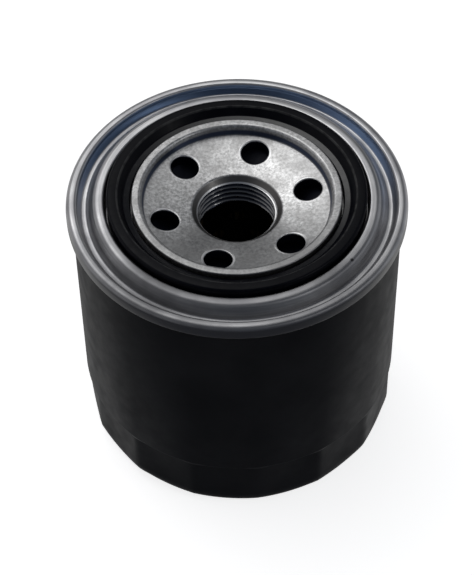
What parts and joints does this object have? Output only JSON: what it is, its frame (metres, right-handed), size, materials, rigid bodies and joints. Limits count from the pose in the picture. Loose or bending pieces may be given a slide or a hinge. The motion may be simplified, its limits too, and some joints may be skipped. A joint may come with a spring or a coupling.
{
  "type": "spin-on oil filter",
  "caption": "Spin-on oil filter: black can with wrench flats, double-seamed lid, lip gasket, tapped thread plate with oil inlets, pleated element and valves inside.",
  "frame": {"origin": "centre of the closed end's foot ring, on the thread axis, where the filter stands upside down on a bench", "axes": "+Z along the thread axis, from the closed end to the gasket; +X towards the middle of one wrench flat"},
  "size_m": [0.082, 0.082, 0.0752],
  "materials": {
    "black_paint": "black satin paint on drawn steel",
    "tin_plate": "bright tin plate with fine rings from forming",
    "zinc_plate": "dull zinc-coated steel with a fine grain",
    "gasket_rubber": "smooth black rubber with a film of oil",
    "valve_rubber": "matte black rubber",
    "inner_steel": "bare pressed steel with a little oil",
    "spring_steel": "drawn spring wire",
    "filter_paper": "resin-treated filter paper",
    "potting_resin": "cured adhesive"
  },
  "bodies": {
    "canister": {"canister_shell": "black_paint", "seaming_lid": "tin_plate", "thread_plate": "zinc_plate", "threaded_boss": "zinc_plate", "sealing_gasket": "gasket_rubber", "element_spring": "spring_steel"},
    "element": {"upper_end_cap": "inner_steel", "lower_end_cap": "inner_steel", "upper_potting_ring": "potting_resin", "lower_potting_ring": "potting_resin", "centre_tube": "inner_steel", "pleated_media": "filter_paper", "pleat_seam_clip": "inner_steel", "bypass_valve_seat": "inner_steel", "bypass_cage": "inner_steel", "bypass_spring": "spring_steel"},
    "drain_valve": {"anti_drainback_valve": "valve_rubber"},
    "bypass_poppet": {"bypass_seal_washer": "valve_rubber", "bypass_poppet_disc": "inner_steel", "bypass_rivet": "spring_steel"}
  },
  "joints": [
    {"name": "element_float", "type": "slide", "parent": "canister", "child": "element", "axis": [0, 0, 1], "range_m": [-0.0015, 0], "stiffness_N_per_m": 2000, "springref_m": 0.004, "deforming": ["element_spring"]},
    {"name": "drain_valve_flex", "type": "slide", "parent": "canister", "child": "drain_valve", "axis": [0, 0, 1], "range_m": [-0.0015, 0], "stiffness_N_per_m": 300, "springref_m": 0.0008, "deforming": ["anti_drainback_valve"]},
    {"name": "bypass_lift", "type": "slide", "parent": "element", "child": "bypass_poppet", "axis": [0, 0, 1], "range_m": [0, 0.003], "stiffness_N_per_m": 300, "springref_m": -0.001, "deforming": ["bypass_spring"]}
  ]
}
